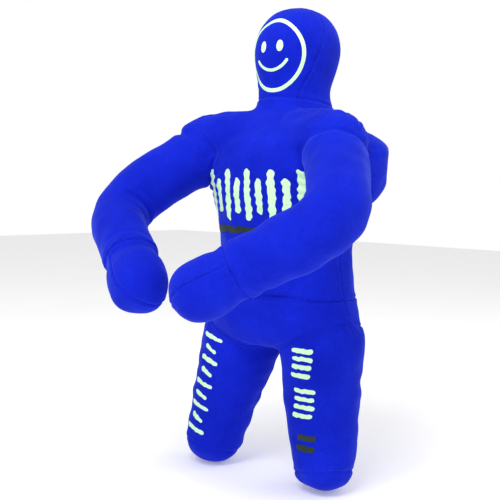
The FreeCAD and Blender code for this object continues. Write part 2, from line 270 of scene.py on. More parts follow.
def smooth_path(points, steps):
    """A cubic B-spline that starts and ends on its first and last control points."""
    ctrl = [points[0]] * 2 + list(points) + [points[-1]] * 2
    ctrl = [np.array(p, float) for p in ctrl]
    out = []
    for k in range(len(ctrl) - 3):
        a, b, c, d = ctrl[k:k + 4]
        for t in np.arange(steps) / steps:
            out.append(((1 - t) ** 3 * a + (3 * t**3 - 6 * t**2 + 4) * b
                        + (-3 * t**3 + 3 * t**2 + 3 * t + 1) * c + t**3 * d) / 6)
    return np.array(out + [ctrl[-1]])


def tube_mesh(name, path, radii, dome_start=1.0, dome_end=1.0):
    """A round tube along a path, closed by domes; a dome of 1 is a half ball, less is flatter."""
    path = [Vector(p) for p in path]
    tangents = [(path[min(i + 1, len(path) - 1)] - path[max(i - 1, 0)]).normalized()
                for i in range(len(path))]
    side = tangents[0].orthogonal().normalized()
    rings = []

    def add_ring(centre, tangent, radius):
        up = tangent.cross(side).normalized()
        rings.append([centre + (side * math.cos(2 * math.pi * i / RING)
                                + up * math.sin(2 * math.pi * i / RING)) * radius for i in range(RING)])

    dome = [math.radians(a) for a in (6, 14, 24, 36, 48, 60, 74)]
    for angle in dome:
        centre = path[0] - tangents[0] * (radii[0] * dome_start * math.cos(angle))
        add_ring(centre, tangents[0], radii[0] * math.sin(angle))
    for centre, tangent, radius in zip(path, tangents, radii):
        side = (side - tangent * side.dot(tangent)).normalized()
        add_ring(centre, tangent, radius)
    for angle in reversed(dome):
        centre = path[-1] + tangents[-1] * (radii[-1] * dome_end * math.cos(angle))
        add_ring(centre, tangents[-1], radii[-1] * math.sin(angle))
    return stack_rings(name, rings)


def tube_field(points, path, radii):
    """How far outside a tube each point lies, how far along it, and its direction from the path."""
    reach = radii.max() + 0.05
    close = np.all((points > path.min(axis=0) - reach) & (points < path.max(axis=0) + reach), axis=1)

    def spread(values, fill=0.0):
        whole = np.full((len(close), *values.shape[1:]), fill)
        whole[close] = values
        return whole

    points = points[close]
    gap = np.full(len(points), FAR)
    along = np.zeros(len(points))
    outward = np.zeros_like(points)
    start = 0.0
    for a, b, ra, rb in zip(path[:-1], path[1:], radii[:-1], radii[1:]):
        step = b - a
        length = np.linalg.norm(step)
        t = np.clip((points - a) @ step / length**2, 0, 1)
        off = points - a - t[:, None] * step
        distance = np.linalg.norm(off, axis=1)
        here = distance - (ra + t * (rb - ra))
        near = here < gap
        gap[near] = here[near]
        along[near] = start + t[near] * length
        outward[near] = off[near] / np.maximum(distance[near], 1e-6)[:, None]
        start += length
    return spread(gap, FAR), spread(along), spread(outward)


def to_side(points, side):
    """Points given on the dummy's left, on either side."""
    return np.array([(side * p[0], p[1], p[2]) for p in points])


def arm_form(side):
    bend = ELBOW + Vector((0.006, 0.004, -0.006))
    upper = SHOULDER.lerp(ELBOW, 0.55) + Vector((0.008, 0.0, 0.004))
    path = smooth_path([SHOULDER + Vector((-0.045, 0.035, 0.012)),
                        SHOULDER + Vector((0, 0, 0.003)), upper, bend,
                        ELBOW.lerp(HAND, 0.34) + Vector((0.011, -0.005, 0.0)),
                        ELBOW.lerp(HAND, 0.60), ELBOW.lerp(HAND, 0.80)], 6)
    radii = np.interp(np.linspace(0, 1, len(path)), [0, 0.2, 0.45, 0.62, 0.8, 1.0],
                      [0.067, 0.069, 0.066, 0.0625, 0.058, 0.0515])
    return to_side(path, side), radii


def hand_form(side):
    return (to_side([ELBOW.lerp(HAND, s) for s in (0.765, 0.83, 0.90, 0.97, 1.0)], side),
            np.array([0.051, 0.059, 0.0635, 0.0645, 0.0635]))


def leg_form(side):
    share = np.linspace(0, 1, 12)
    return (to_side([HIP.lerp(FOOT, s) for s in share], side),
            np.interp(share, [0, 0.3, 1], [0.096, 0.0885, 0.0675]))


def lobe_form(side):
    """The swollen back of the shoulder."""
    path = [body(0.146, 0.034, 0.726), body(0.168, 0.047, 0.708), body(0.162, 0.050, 0.692)]
    return to_side(path, side), np.array([0.080, 0.092, 0.077])


def yoke_form(side):
    """The top of the shoulder, from the neck to the armhole."""
    path = [body(0.060, -0.010, 0.780), body(0.130, -0.032, 0.769), body(0.190, -0.050, 0.756)]
    return to_side(path, side), np.array([0.062, 0.064, 0.066])


def make_skin():
    pieces = [section_mesh("trunk", TRUNK), section_mesh("hood", HOOD)]
    for side in SIDES.values():
        pieces += [tube_mesh("arm", *arm_form(side)),
                   tube_mesh("hand", *hand_form(side), dome_start=0.5),
                   tube_mesh("leg", *leg_form(side), dome_start=0.9, dome_end=0.68),
                   tube_mesh("lobe", *lobe_form(side)), tube_mesh("yoke", *yoke_form(side))]
    return fuse("skin", pieces)


# ---- where each point of the skin lies ----
class Chart:
    """Distances and places of the skin's points, measured on its shape before it is blown up."""

    def __init__(self, rest):
        self.rest = rest
        self.x = rest[:, 0]
        self.y = rest[:, 1] - HIPS_Y
        self.z = rest[:, 2]
        self.hood = section_field(rest, HOOD)
        self.trunk = np.minimum(section_field(rest, TRUNK), self.hood)
        self.arm, self.leg = {}, {}
        for side in SIDES.values():
            for form in (lobe_form, yoke_form):
                self.trunk = np.minimum(self.trunk, tube_field(rest, *form(side))[0])
        for name, side in SIDES.items():
            gap, along, outward = tube_field(rest, *arm_form(side))
            hand = tube_field(rest, *hand_form(side))[0]
            own = (np.minimum(gap, hand) < self.trunk) & (side * self.x > 0.02) & (self.z > 0.38)
            self.arm[name] = {"gap": np.minimum(gap, hand), "outward": outward, "own": own,
                              "wrist_side": own * (along > 0.30),
                              "past_wrist": self.past(WRIST, HAND_DIRECTION, side)}
            gap, _, outward = tube_field(rest, *leg_form(side))
            self.leg[name] = {"gap": gap, "outward": outward,
                              "own": (gap < self.trunk) & (side * self.x > 0),
                              "past_end": self.past(LEG_END, LEG_DIRECTION, side)}
        self.on_arm = self.arm["left"]["own"] | self.arm["right"]["own"]

    def past(self, point, direction, side=1.0):
        """How far past a plane each point lies; the plane is given on the dummy's left."""
        point = np.array((side * point[0], point[1], point[2]))
        direction = np.array((side * direction[0], direction[1], direction[2]))
        return (self.rest - point) @ direction


def ripples(points, wavelength, seed, stretch=(1, 1, 1), waves=16):
    """A smooth uneven field of about unit size, from waves in many directions."""
    rng = np.random.default_rng(seed)
    directions = rng.normal(size=(waves, 3))
    directions /= np.linalg.norm(directions, axis=1)[:, None]
    directions /= np.array(stretch)
    rates = 2 * math.pi / wavelength * rng.uniform(0.6, 1.4, waves)
    phases = rng.uniform(0, 2 * math.pi, waves)
    total = np.zeros(len(points))
    for direction, rate, phase in zip(directions, rates, phases):
        total += np.sin(points @ direction * rate + phase)
    return total / math.sqrt(waves / 2)


def bell(distance, width):
    return np.exp(-(distance / width) ** 2)


def ramp(value, low, high):
    t = np.clip((value - low) / (high - low), 0, 1)
    return t * t * (3 - 2 * t)


# ---- seams ----
def mitten_seam_normal():
    """The mitten's seam runs along its upper front, from the wrist round the tip."""
    front = Vector((0.62, -0.78, 0.0))
    front = (front - HAND_DIRECTION * front.dot(HAND_DIRECTION)).normalized()
    up = HAND_DIRECTION.cross(front)
    if up.z < 0:
        up.negate()
    seam = front * math.cos(math.radians(28)) + up * math.sin(math.radians(28))
    return HAND_DIRECTION.cross(seam).normalized()


def seams_of(chart):
    """Each seam as (distance from it, where it is sewn from 0 to 1, depth, pucker, reach)."""
    on_body = ~chart.on_arm
    seams = {}
    seams["waist"] = (chart.z - WAIST_Z, on_body * 1.0, 0.0030, 0.0008, 0.014)
    seams["neck"] = (chart.past((0, HIPS_Y + 0.04, 0.853), (0, 0.16, 0.99)),
                     on_body * ramp(0.115 - np.abs(chart.x), 0, 0.015), 0.0020, 0.0006, 0.012)
    lean = math.radians(17)
    hood_seam = chart.past(body(0, 0.047, 1.074), (0, math.cos(lean), -math.sin(lean)))
    seams["hood"] = (hood_seam, on_body * ramp(chart.z, 0.850, 0.866), 0.0016, 0.0007, 0.012)
    seams["sides"] = (chart.y - 0.008, on_body * ramp(np.abs(chart.x), 0.12, 0.14)
                      * ramp(chart.z, 0.33, 0.36) * ramp(0.70 - chart.z, 0, 0.03),
                      0.0014, 0.0006, 0.012)
    normal = mitten_seam_normal()
    for name, side in SIDES.items():
        arm, leg = chart.arm[name], chart.leg[name]
        near = ramp(0.03 - np.maximum(np.abs(arm["gap"]), np.abs(chart.trunk)), 0, 0.02)
        near = near * (side * chart.x > 0.05) * (chart.z > 0.6)
        seams["armhole_" + name] = (chart.trunk - arm["gap"], near, 0.0050, 0.0007, 0.016)
        near = ramp(0.03 - np.maximum(np.abs(leg["gap"]), np.abs(chart.trunk)), 0, 0.02)
        seams["groin_" + name] = (chart.trunk - leg["gap"], near * on_body * (chart.z < 0.37),
                                  0.0022, 0.0007, 0.016)
        seams["wrist_" + name] = (arm["past_wrist"], arm["wrist_side"] * 1.0, 0.0030, 0.0010, 0.016)
        on_hand = arm["own"] * ramp(arm["past_wrist"], -0.004, 0.004)
        seams["mitten_" + name] = (chart.past(HAND, normal, side), on_hand, 0.0026, 0.0008, 0.010)
        seams["leg_end_" + name] = (leg["past_end"], leg["own"] * 1.0, 0.0018, 0.0007, 0.012)
        inner = np.arctan2(leg["outward"][:, 1] - 0.35, -side * leg["outward"][:, 0]) * 0.08
        seams["inseam_" + name] = (inner, leg["own"] * ramp(-leg["past_end"], 0.002, 0.012)
                                   * ramp(0.30 - chart.z, 0, 0.02), 0.0013, 0.0006, 0.010)
    return seams


def press_seams(chart, seams):
    """Inward and outward moves for every seam: a groove with puckered cloth on each side."""
    move = np.zeros(len(chart.rest))
    fine = ripples(chart.rest, 0.020, 3)
    broad = ripples(chart.rest, 0.040, 4)
    for distance, sewn, depth, pucker, reach in seams.values():
        width = max(0.0026, depth * 0.9)
        move -= sewn * depth * bell(distance, width)
        beside = np.exp(-np.abs(distance) / reach) - bell(distance, width * 0.8)
        move += sewn * pucker * np.maximum(beside, 0) * (0.6 * fine + 0.7 * broad)
        move += sewn * depth * 0.35 * bell(np.abs(distance) - 2.6 * width, 2 * width)
    return move


def press_folds(chart):
    """The folds that the stuffed cloth takes where limbs leave the body or bend."""
    move = np.zeros(len(chart.rest))
    # a sagging fold in front, where the belly hangs over the waist's seam
    front = ramp(-chart.y, 0.02, 0.08) * ~chart.on_arm
    spread = bell(chart.x - 0.070, 0.060) + 0.45 * bell(chart.x + 0.060, 0.050)
    dip = WAIST_Z + 0.002 + 0.006 * np.sin(chart.x * 22)
    move -= 0.0070 * front * spread * bell(chart.z - dip, 0.0034)
    move += 0.0036 * front * spread * bell(chart.z - dip - 0.012, 0.009)
    for name, side in SIDES.items():
        arm = chart.arm[name]
        elbow = np.linalg.norm(chart.rest - np.array((side * ELBOW.x, ELBOW.y, ELBOW.z)), axis=1)
        into = (SHOULDER.lerp(HAND, 0.5) - ELBOW).normalized()
        inside = ramp(arm["outward"] @ np.array((side * into.x, into.y, into.z)), 0.15, 0.95)
        inside = inside * arm["own"]
        bend = chart.past(ELBOW, (HAND_DIRECTION + ARM_DIRECTION).normalized(), side)
        move -= 0.0055 * inside * bell(bend, 0.0050)
        for shift, depth in ((-0.024, 0.0022), (0.021, 0.0026), (0.043, 0.0014)):
            move -= depth * inside * bell(bend - shift - 0.004 * np.sin(elbow * 90), 0.0055)
        # gathers that fan out from the armhole over the back of the shoulder
        radial = chart.rest - np.array((side * SHOULDER.x, SHOULDER.y, SHOULDER.z))
        turn = np.arctan2(radial[:, 2], side * radial[:, 0] * 0.51 + radial[:, 1] * 0.86)
        off = np.maximum(arm["gap"], 0)
        behind = ~arm["own"] * (chart.y > -0.06) * ramp(chart.z, 0.69, 0.74) * (side * chart.x > 0.10)
        gather = np.sin(turn * 21 + 1.3 * side) * 0.6 + np.sin(turn * 34 + 0.7) * 0.4
        move += 0.0024 * behind * np.exp(-off / 0.034) * ramp(off, 0.002, 0.010) * gather
        # the arm squeezes the chest at the armpit
        armpit = (~arm["own"] * (chart.y < 0.02) * bell(chart.z - 0.672, 0.035)
                  * ramp(side * chart.x, 0.08, 0.13))
        move += 0.0020 * armpit * np.sin(chart.z * 330 + side * chart.x * 140)
        # puffs on both sides of the wrist
        move += arm["wrist_side"] * 0.0016 * bell(arm["past_wrist"] + 0.016, 0.010)
        move -= (arm["wrist_side"] * 0.0016 * bell(arm["past_wrist"] + 0.034, 0.006)
                 * (0.5 + 0.5 * np.sin(chart.x * 70)))
        # creases that run from the crotch up over each thigh
        leg = chart.leg[name]
        thigh = chart.past(body(0.03, -0.09, 0.300), (-0.42, 0, 0.91), side)
        front_of_leg = ramp(-chart.y, 0.03, 0.08) * (side * chart.x > 0.012) * ~chart.on_arm
        move -= 0.0020 * front_of_leg * bell(thigh, 0.0034) * ramp(0.125 - side * chart.x, 0, 0.05)
        move -= (0.0013 * front_of_leg * bell(thigh + 0.017, 0.0040)
                 * ramp(0.105 - side * chart.x, 0, 0.05))
        move += leg["own"] * 0.0007 * ripples(chart.rest, 0.055, 11, (1.8, 1.8, 0.7))
    neck_fold = chart.past((0, HIPS_Y + 0.04, 0.838), (0.12, 0.2, 0.97))
    move -= (0.0022 * bell(neck_fold, 0.0035) * ramp(chart.x, 0.03, 0.06) * (chart.x < 0.12)
             * ~chart.on_arm)
    return move


def press_lumps(chart):
    """The stuffing is never quite even."""
    calm = 1 - 0.5 * ramp(chart.z, 0.86, 0.90)
    move = 0.0016 * ripples(chart.rest, 0.150, 21) * calm
    move += 0.0007 * ripples(chart.rest, 0.060, 22) * calm
    upright = ripples(chart.rest, 0.045, 23, (3.0, 3.0, 0.8))
    return move + 0.0006 * upright * (chart.z < 0.83) * ~chart.on_arm


ZIP_FLAT = 0.0010  # beside the tape, where the skin starts to rise
ZIP_SIDE = 0.0060  # beside the tape, where it is back in place
ZIP_LIP = 0.0012  # how far the skin stands up beside the zip
UNDER_TAPE = 0.0012
BEHIND_PULL = 0.0016
DIP_HALF_WIDTHS = (0.0065, 0.0130)  # of the dip's floor and of its rim


def sink_zip(co):
    """The back's opening: the skin turns in along both sides of the zip and under its tape."""
    x, y, z = co.T
    on_back = y > HIPS_Y + 0.06
    across = 1 - ramp(np.abs(x), TAPE_HIGH.x + ZIP_FLAT, TAPE_HIGH.x + ZIP_SIDE)
    upright = (ramp(z, TAPE_LOW.z - 0.006, TAPE_LOW.z - 0.001)
               * ramp(-z, -TAPE_HIGH.z - 0.006, -TAPE_HIGH.z - 0.001))
    sunk = across * upright * on_back
    lip = bell(np.abs(x) - TAPE_HIGH.x - 0.0085, 0.0040) * upright * on_back
    co[:, 1] = y + (np.minimum(y, TAPE_LOW.y - UNDER_TAPE) - y) * sunk + ZIP_LIP * lip
    # below the zip the centre seam lies in a dip, where the pull hangs when the zip is open
    dip = 1 - ramp(np.abs(x), *DIP_HALF_WIDTHS)
    dip = dip * ramp(z, TAPE_LOW.z - 0.042, TAPE_LOW.z - 0.030)
    dip = dip * (z < TAPE_LOW.z + 0.002) * on_back
    co[:, 1] += (np.minimum(co[:, 1], PULL_BACK_Y - BEHIND_PULL) - co[:, 1]) * dip


# ---- blowing up the skin ----
SWELL = 0.006  # how far the cloth may move
CLOTH_FRAMES = 20
CLOTH_QUALITY = 3
CLOTH_PRESSURE = 4


def inflate(skin, held):
    """Cloth under pressure, held along its seams, so that each panel fills out between them."""
    before = points_of(skin)
    group = skin.vertex_groups.new(name="seams")
    for index in np.flatnonzero(held > 0.05):
        group.add([int(index)], float(min(1.0, held[index])), "REPLACE")
    cloth = skin.modifiers.new("cloth", "CLOTH")
    cloth.settings.quality = CLOTH_QUALITY
    cloth.settings.vertex_group_mass = group.name
    cloth.settings.use_pressure = True
    cloth.settings.uniform_pressure_force = CLOTH_PRESSURE
    cloth.settings.effector_weights.gravity = 0
    scene = bpy.context.scene
    for number in range(1, CLOTH_FRAMES + 1):
        scene.frame_set(number)
    apply_modifiers(skin)
    scene.frame_set(1)
    move = points_of(skin) - before
    length = np.linalg.norm(move, axis=1)
    move *= np.minimum(1, SWELL / np.maximum(length, 1e-9))[:, None]
    set_points(skin, before + move)
    relax(skin, 2)


def remember_rest(skin):
    store = skin.data.attributes.new("rest", "FLOAT_VECTOR", "POINT")
    store.data.foreach_set("vector", points_of(skin).astype(np.float32).ravel())


def shape_skin():
    """The finished skin, in one piece, and the chart of its points."""
    skin = make_skin()
    relax(skin, 8)
    remember_rest(skin)
    seams = seams_of(Chart(points_of(skin)))
    held = np.zeros(len(skin.data.vertices))
    for distance, sewn, *_ in seams.values():
        held = np.maximum(held, sewn * bell(distance, 0.004))
    inflate(skin, held)
    finer = skin.modifiers.new("finer", "SUBSURF")
    finer.levels = 1
    apply_modifiers(skin)
    chart = Chart(read_vectors(skin.data.attributes["rest"].data, "vector"))
    co = points_of(skin)
    normals = normals_of(skin)
    move = press_seams(chart, seams_of(chart)) + press_folds(chart) + press_lumps(chart)
    co += normals * move[:, None]
    sink_zip(co)
    co[:, 2] = np.maximum(co[:, 2], 0.0004)
    set_points(skin, co)
    return skin, chart


# ---- cutting the skin into parts at the joints ----
def faces_of(piece):
    corners = np.empty(len(piece.data.loops), np.int64)
    piece.data.loops.foreach_get("vertex_index", corners)
    return corners.reshape(-1, 4)


def cut_part(skin, name, faces, chosen, normals):
    """The chosen faces as a new piece, shaded as if it were still joined to its neighbours."""
    part = faces[chosen]
    used, flat = np.unique(part, return_inverse=True)
    piece = new_piece(name, points_of(skin)[used], flat.reshape(-1, 4).tolist())
    shade_smooth(piece)
    piece.data.normals_split_custom_set_from_vertices([tuple(n) for n in normals[used]])
    return piece


def sort_faces(chart, faces):
    """Which part each face belongs to."""
    def middle(values):
        return values[faces].mean(axis=1)

    x, z = middle(chart.x), middle(chart.z)
    on_arm = middle(chart.on_arm) > 0.5
    part = np.full(len(faces), "torso_skin", dtype="<U24")
    part[(z > NECK_BEND_START) & ~on_arm & (np.abs(x) < 0.12)] = "hood_skin"
    leg_start = Vector((0, HIP.y, LEG_BEND_START))
    sleeve_seam = SHOULDER + ARM_DIRECTION * LOWER_SLEEVE_START
    for name, side in SIDES.items():
        arm = middle(chart.arm[name]["own"]) > 0.5
        lower = middle(chart.past(sleeve_seam, ARM_DIRECTION, side)) > 0
        mitten = middle(chart.arm[name]["past_wrist"]) > 0
        part[arm] = "sleeve_head_" + name
        part[arm & lower] = "lower_sleeve_" + name
        part[arm & lower & mitten] = "mitten_" + name
        leg = middle(chart.past(leg_start, LEG_BEND, side)) > 0
        leg &= (side * x > 0) & (z < 0.36) & ~on_arm
        end = middle(chart.leg[name]["past_end"]) > 0
        part[leg] = "leg_skin_" + name
        part[leg & end] = "leg_end_skin_" + name
    return part


STANDS_FOR = {
    "torso_skin": ["pelvis_front_panel", "pelvis_back_panel", "pelvis_stuffing", "chest_front_panel",
                   "back_panel_left", "back_panel_right", "torso_stuffing"],
    "hood_skin": ["hood_face_panel", "hood_back_panel", "head_stuffing"],
    "sleeve_head": ["upper_arm_cover", "upper_arm_stuffing"],
    "lower_sleeve": ["forearm_cover", "forearm_stuffing"],
    "mitten": ["hand_upper_panel", "hand_lower_panel", "hand_stuffing"],
    "leg_skin": ["leg_cover", "leg_stuffing"],
    "leg_end_skin": ["leg_end_panel"],
}


def hang(piece, part):
    """Hangs a mitten or leg-end piece on its body; every other piece only has its place baked in."""
    kind, _, name = part.rpartition("_") if part.endswith(("_left", "_right")) else (part, "", "")
    if kind == "torso_skin":
        bend_across_waist(piece)
    elif kind == "hood_skin":
        bend_at_neck(piece)
    elif kind == "sleeve_head":
        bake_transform(piece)
    elif kind == "lower_sleeve":
        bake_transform(piece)
    elif kind == "mitten":
        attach(piece, "forearm_" + name)
    elif kind == "leg_skin":
        bend_at_hip(piece)
    else:
        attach(piece, "leg_" + name)


def hang_parts(skin, chart):
    """Cuts the skin, hangs the mittens and the leg ends on their bodies, hides the nodes that each part stands
    for, and sews it.
    """
    faces = faces_of(skin)
    part = sort_faces(chart, faces)
    normals = normals_of(skin)
    pieces = {name: cut_part(skin, name, faces, part == name, normals) for name in np.unique(part)}
    for name, piece in pieces.items():
        hang(piece, name)
        kind = name.replace("_left", "").replace("_right", "")
        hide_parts(*[node + name[len(kind):] for node in STANDS_FOR[kind]])
    stitches = sew(skin, chart, faces, part)
    for name, piece in stitches.items():
        hang(piece, name)
    bpy.data.objects.remove(skin)
    return pieces, stitches


def bend_across_waist(piece):
    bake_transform(piece)


def bend_at_neck(piece):
    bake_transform(piece)


def bend_at_hip(piece):
    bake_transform(piece)


# ---- stitches ----
STITCH_PITCH = 0.0052
STITCH_LENGTH = 0.0034
STITCH_HALF_WIDTH = 0.00055
SEWN_ENOUGH = 0.6  # how strongly a seam is sewn where it has stitches
# how far past each seam its row of stitches runs
TOPSTITCH = {"waist": -0.0046, "neck": -0.0042, "hood": 0.0040, "sides": 0.0038,
             "armhole": -0.0075, "wrist": 0.0046, "mitten": 0.0038, "leg_end": -0.0040,
             "inseam": 0.0036}


def seam_crossings(co, normals, edges, field):
    """Where a field is zero on the mesh's edges, with the normal and the nearest vertex."""
    a, b = edges.T
    cross = (field[a] < 0) != (field[b] < 0)
    a, b = a[cross], b[cross]
    share = (field[a] / (field[a] - field[b]))[:, None]
    return co[a] + (co[b] - co[a]) * share, normals[a], a


def thin_out(points, spacing):
    """Points chosen in order so that none is nearer than the spacing to one chosen before."""
    cells, chosen = {}, []
    for index, point in enumerate(points):
        cell = tuple(np.floor(point / spacing).astype(int))
        near = [cells.get((cell[0] + i, cell[1] + j, cell[2] + k), ())
                for i in (-1, 0, 1) for j in (-1, 0, 1) for k in (-1, 0, 1)]
        if all(np.linalg.norm(points[other] - point) > spacing
               for group in near for other in group):
            cells.setdefault(cell, []).append(index)
            chosen.append(index)
    return chosen


def stitch_rows(skin, chart, faces):
    """A row of stitches beside each seam: middle, direction, normal and nearest point of the skin."""
    co, normals = points_of(skin), normals_of(skin)
    edges = np.concatenate([faces[:, [0, 1]], faces[:, [1, 2]]])
    rows = []
    for name, (distance, sewn, *_) in seams_of(chart).items():
        shift = TOPSTITCH.get(name.replace("_left", "").replace("_right", ""))
        if shift is None:
            continue
        sewn_edges = edges[(sewn[edges] > SEWN_ENOUGH).all(axis=1)]
        points, up, nearest = seam_crossings(co, normals, sewn_edges, distance - shift)
        for index in thin_out(points, STITCH_PITCH):
            gaps = np.linalg.norm(points - points[index], axis=1)
            close = points[(gaps > 0.0005) & (gaps < 0.0065)] - points[index]
            if len(close) < 2:
                continue
            along = close[np.argmax(np.linalg.norm(close, axis=1))]
            along = along - up[index] * (along @ up[index])
            along = along / max(np.linalg.norm(along), 1e-6)
            rows.append((points[index], along, up[index], nearest[index]))
    return rows


def stitch_mesh(name, stitches):
    """Small rounded bars of thread, each dipping into the cloth at both ends."""
    vertices, faces = [], []
    outline = [(-1.0, 0.0, -0.5), (-0.6, 1.0, 0.1), (0.6, 1.0, 0.1), (1.0, 0.0, -0.5),
               (0.6, -1.0, 0.1), (-0.6, -1.0, 0.1), (-0.6, 0.0, 0.9), (0.6, 0.0, 0.9),
               (-0.6, 0.0, -0.9), (0.6, 0.0, -0.9)]
    shape = [(0, 1, 6), (1, 2, 7, 6), (2, 3, 7), (3, 4, 7), (4, 5, 6, 7), (5, 0, 6),
             (1, 0, 8), (2, 1, 8, 9), (3, 2, 9), (4, 3, 9), (5, 4, 9, 8), (0, 5, 8)]
    for middle, along, up, _ in stitches:
        across = np.cross(up, along)
        first = len(vertices)
        for length, width, height in outline:
            vertices.append(middle + along * length * STITCH_LENGTH / 2
                            + across * width * STITCH_HALF_WIDTH + up * height * STITCH_HALF_WIDTH)
        faces += [tuple(first + i for i in face[::-1]) for face in shape]
    return new_piece(name, vertices, faces)


def sew(skin, chart, faces, part):
    """The stitches of every part as one piece each."""
    owner = np.empty(len(chart.x), dtype=part.dtype)
    owner[faces.ravel()] = np.repeat(part, 4)
    rows = stitch_rows(skin, chart, faces)
    sewn = {}
    for name in np.unique(part):
        own = [row for row in rows if owner[row[3]] == name]
        if own:
            sewn[name] = stitch_mesh(name.replace("_skin", "") + "_stitches", own)
    return sewn


# ---- materials ----
class Nodes:
    """Shorthand for building one material's node tree."""

    def __init__(self, name):
        self.material = bpy.data.materials.new(name)
        self.material.use_nodes = True
        self.tree = self.material.node_tree
        self.shader = self.tree.nodes["Principled BSDF"]
        self.place = self.add("ShaderNodeTexCoord").outputs["Object"]

    def add(self, kind, **values):
        node = self.tree.nodes.new(kind)
        for key, value in values.items():
            setattr(node, key, value)
        return node

    def join(self, source, target):
        self.tree.links.new(source, target)

    def noise(self, scale, detail=3.0, roughness=0.5, source=None):
        node = self.add("ShaderNodeTexNoise")
        node.inputs["Scale"].default_value = scale
        node.inputs["Detail"].default_value = detail
        node.inputs["Roughness"].default_value = roughness
        self.join(source or self.place, node.inputs["Vector"])
        return node.outputs["Fac"]

    def bands(self, direction, scale):
        node = self.add("ShaderNodeTexWave", wave_type="BANDS", bands_direction=direction)
        node.inputs["Scale"].default_value = scale
        self.join(self.place, node.inputs["Vector"])
        return node.outputs["Fac"]

    def stretch(self, scale):
        node = self.add("ShaderNodeMapping")
        node.inputs["Scale"].default_value = scale
        self.join(self.place, node.inputs["Vector"])
        return node.outputs["Vector"]

    def remap(self, source, low, high, out_low, out_high):
        node = self.add("ShaderNodeMapRange")
        for key, value in (("From Min", low), ("From Max", high),
                           ("To Min", out_low), ("To Max", out_high)):
            node.inputs[key].default_value = value
        self.join(source, node.inputs["Value"])
        return node.outputs["Result"]

    def mix(self, factor, a, b):
        node = self.add("ShaderNodeMix", data_type="RGBA")
        self.join(factor, node.inputs[0])
        for socket, value in ((node.inputs[6], a), (node.inputs[7], b)):
            if isinstance(value, tuple):
                socket.default_value = (*value, 1)
            else:
                self.join(value, socket)
        return node.outputs[2]

    def bump(self, height, strength, distance, below=None):
        node = self.add("ShaderNodeBump")
        node.inputs["Strength"].default_value = strength
        node.inputs["Distance"].default_value = distance
        self.join(height, node.inputs["Height"])
        if below:
            self.join(below, node.inputs["Normal"])
        return node.outputs["Normal"]

    def finish(self, color, roughness, normal, **values):
        self.join(color, self.shader.inputs["Base Color"])
        self.join(roughness, self.shader.inputs["Roughness"])
        self.join(normal, self.shader.inputs["Normal"])
        for key, value in values.items():
            self.shader.inputs[key.replace("_", " ")].default_value = value
        return self.material


def brushed_cloth():
    """Brushed blue polyester: short soft nap over a fine knit, paler where the nap is ruffled."""
    n = Nodes("blue_brushed_cloth")
    ruffled = n.remap(n.noise(11, 4, 0.6), 0.35, 0.68, 0, 1)
    mottle = n.remap(n.noise(170, 4, 0.65), 0.35, 0.68, 0, 1)
    color = n.mix(ruffled, (0.0030, 0.0125, 0.460), (0.0050, 0.0190, 0.570))
    color = n.mix(n.remap(mottle, 0, 1, 0, 0.28), color, (0.0015, 0.0070, 0.360))
    worn = n.remap(n.noise(38, 5, 0.7), 0.58, 0.78, 0, 0.22)
    color = n.mix(worn, color, (0.016, 0.040, 0.680))
    roughness = n.remap(mottle, 0, 1, 0.80, 0.94)
    knit = n.noise(900, 2, 0.5, n.stretch((1.0, 1.0, 0.55)))
    nap = n.noise(420, 5, 0.7)
    normal = n.bump(nap, 0.30, 0.0010, n.bump(knit, 0.22, 0.0006))
    return n.finish(color, roughness, normal, Specular_IOR_Level=0.08, Sheen_Weight=0.40,
                    Sheen_Roughness=0.40, Sheen_Tint=(0.12, 0.20, 1.0, 1))


def screen_print(name, ink, thin_ink):
    """Plastic ink pressed into the cloth: it keeps the knit's grain and has cracked a little."""
    n = Nodes(name)
    grain = n.noise(700, 3, 0.6)
    thin = n.remap(n.noise(95, 5, 0.7), 0.56, 0.74, 0, 0.55)
    color = n.mix(thin, ink, thin_ink)
    roughness = n.remap(grain, 0.3, 0.7, 0.46, 0.66)
    normal = n.bump(grain, 0.25, 0.0005)
    return n.finish(color, roughness, normal, Specular_IOR_Level=0.30)


def sewing_thread():
    n = Nodes("twisted_blue_thread")
    twist_relief_and_painted_shade = n.bands("DIAGONAL", 420)
    # The thread is one blue: its darker bands are painted shade in the grooves of the twist and its lighter bands
    # are painted highlight on the ridges; the same bands also raise the bump.
    color = n.mix(twist_relief_and_painted_shade, (0.003, 0.010, 0.36), (0.012, 0.030, 0.62))
    roughness = n.remap(n.noise(400), 0.3, 0.7, 0.45, 0.62)
    return n.finish(color, roughness, n.bump(twist_relief_and_painted_shade, 0.4, 0.0003),
                    Specular_IOR_Level=0.3)


def zip_tape_cloth():
    n = Nodes("woven_zip_tape")
    rib_relief_and_painted_shade = n.bands("DIAGONAL", 260)
    # The tape is one colour: its darker bands are painted shade between the woven ribs and its lighter bands are
    # painted highlight on them; the same bands also raise the bump.
    color = n.mix(rib_relief_and_painted_shade, (0.006, 0.009, 0.20), (0.012, 0.018, 0.34))
    roughness = n.remap(n.noise(300), 0.3, 0.7, 0.72, 0.88)
    return n.finish(color, roughness, n.bump(rib_relief_and_painted_shade, 0.5, 0.0005),
                    Specular_IOR_Level=0.2, Sheen_Weight=0.2)


def zip_coil_plastic():
    n = Nodes("nylon_zip_coil")
    turns_relief_and_painted_shade = n.bands("Z", 190)
    # The coil is one nylon: its dark bands are painted shade between the turns and its light bands are painted
    # highlight on their tops; the same bands also raise the bump.
    color = n.mix(turns_relief_and_painted_shade, (0.003, 0.004, 0.09), (0.020, 0.028, 0.36))
    roughness = n.remap(n.noise(240), 0.3, 0.7, 0.30, 0.45)
    return n.finish(color, roughness, n.bump(turns_relief_and_painted_shade, 0.9, 0.0012),
                    Specular_IOR_Level=0.5)


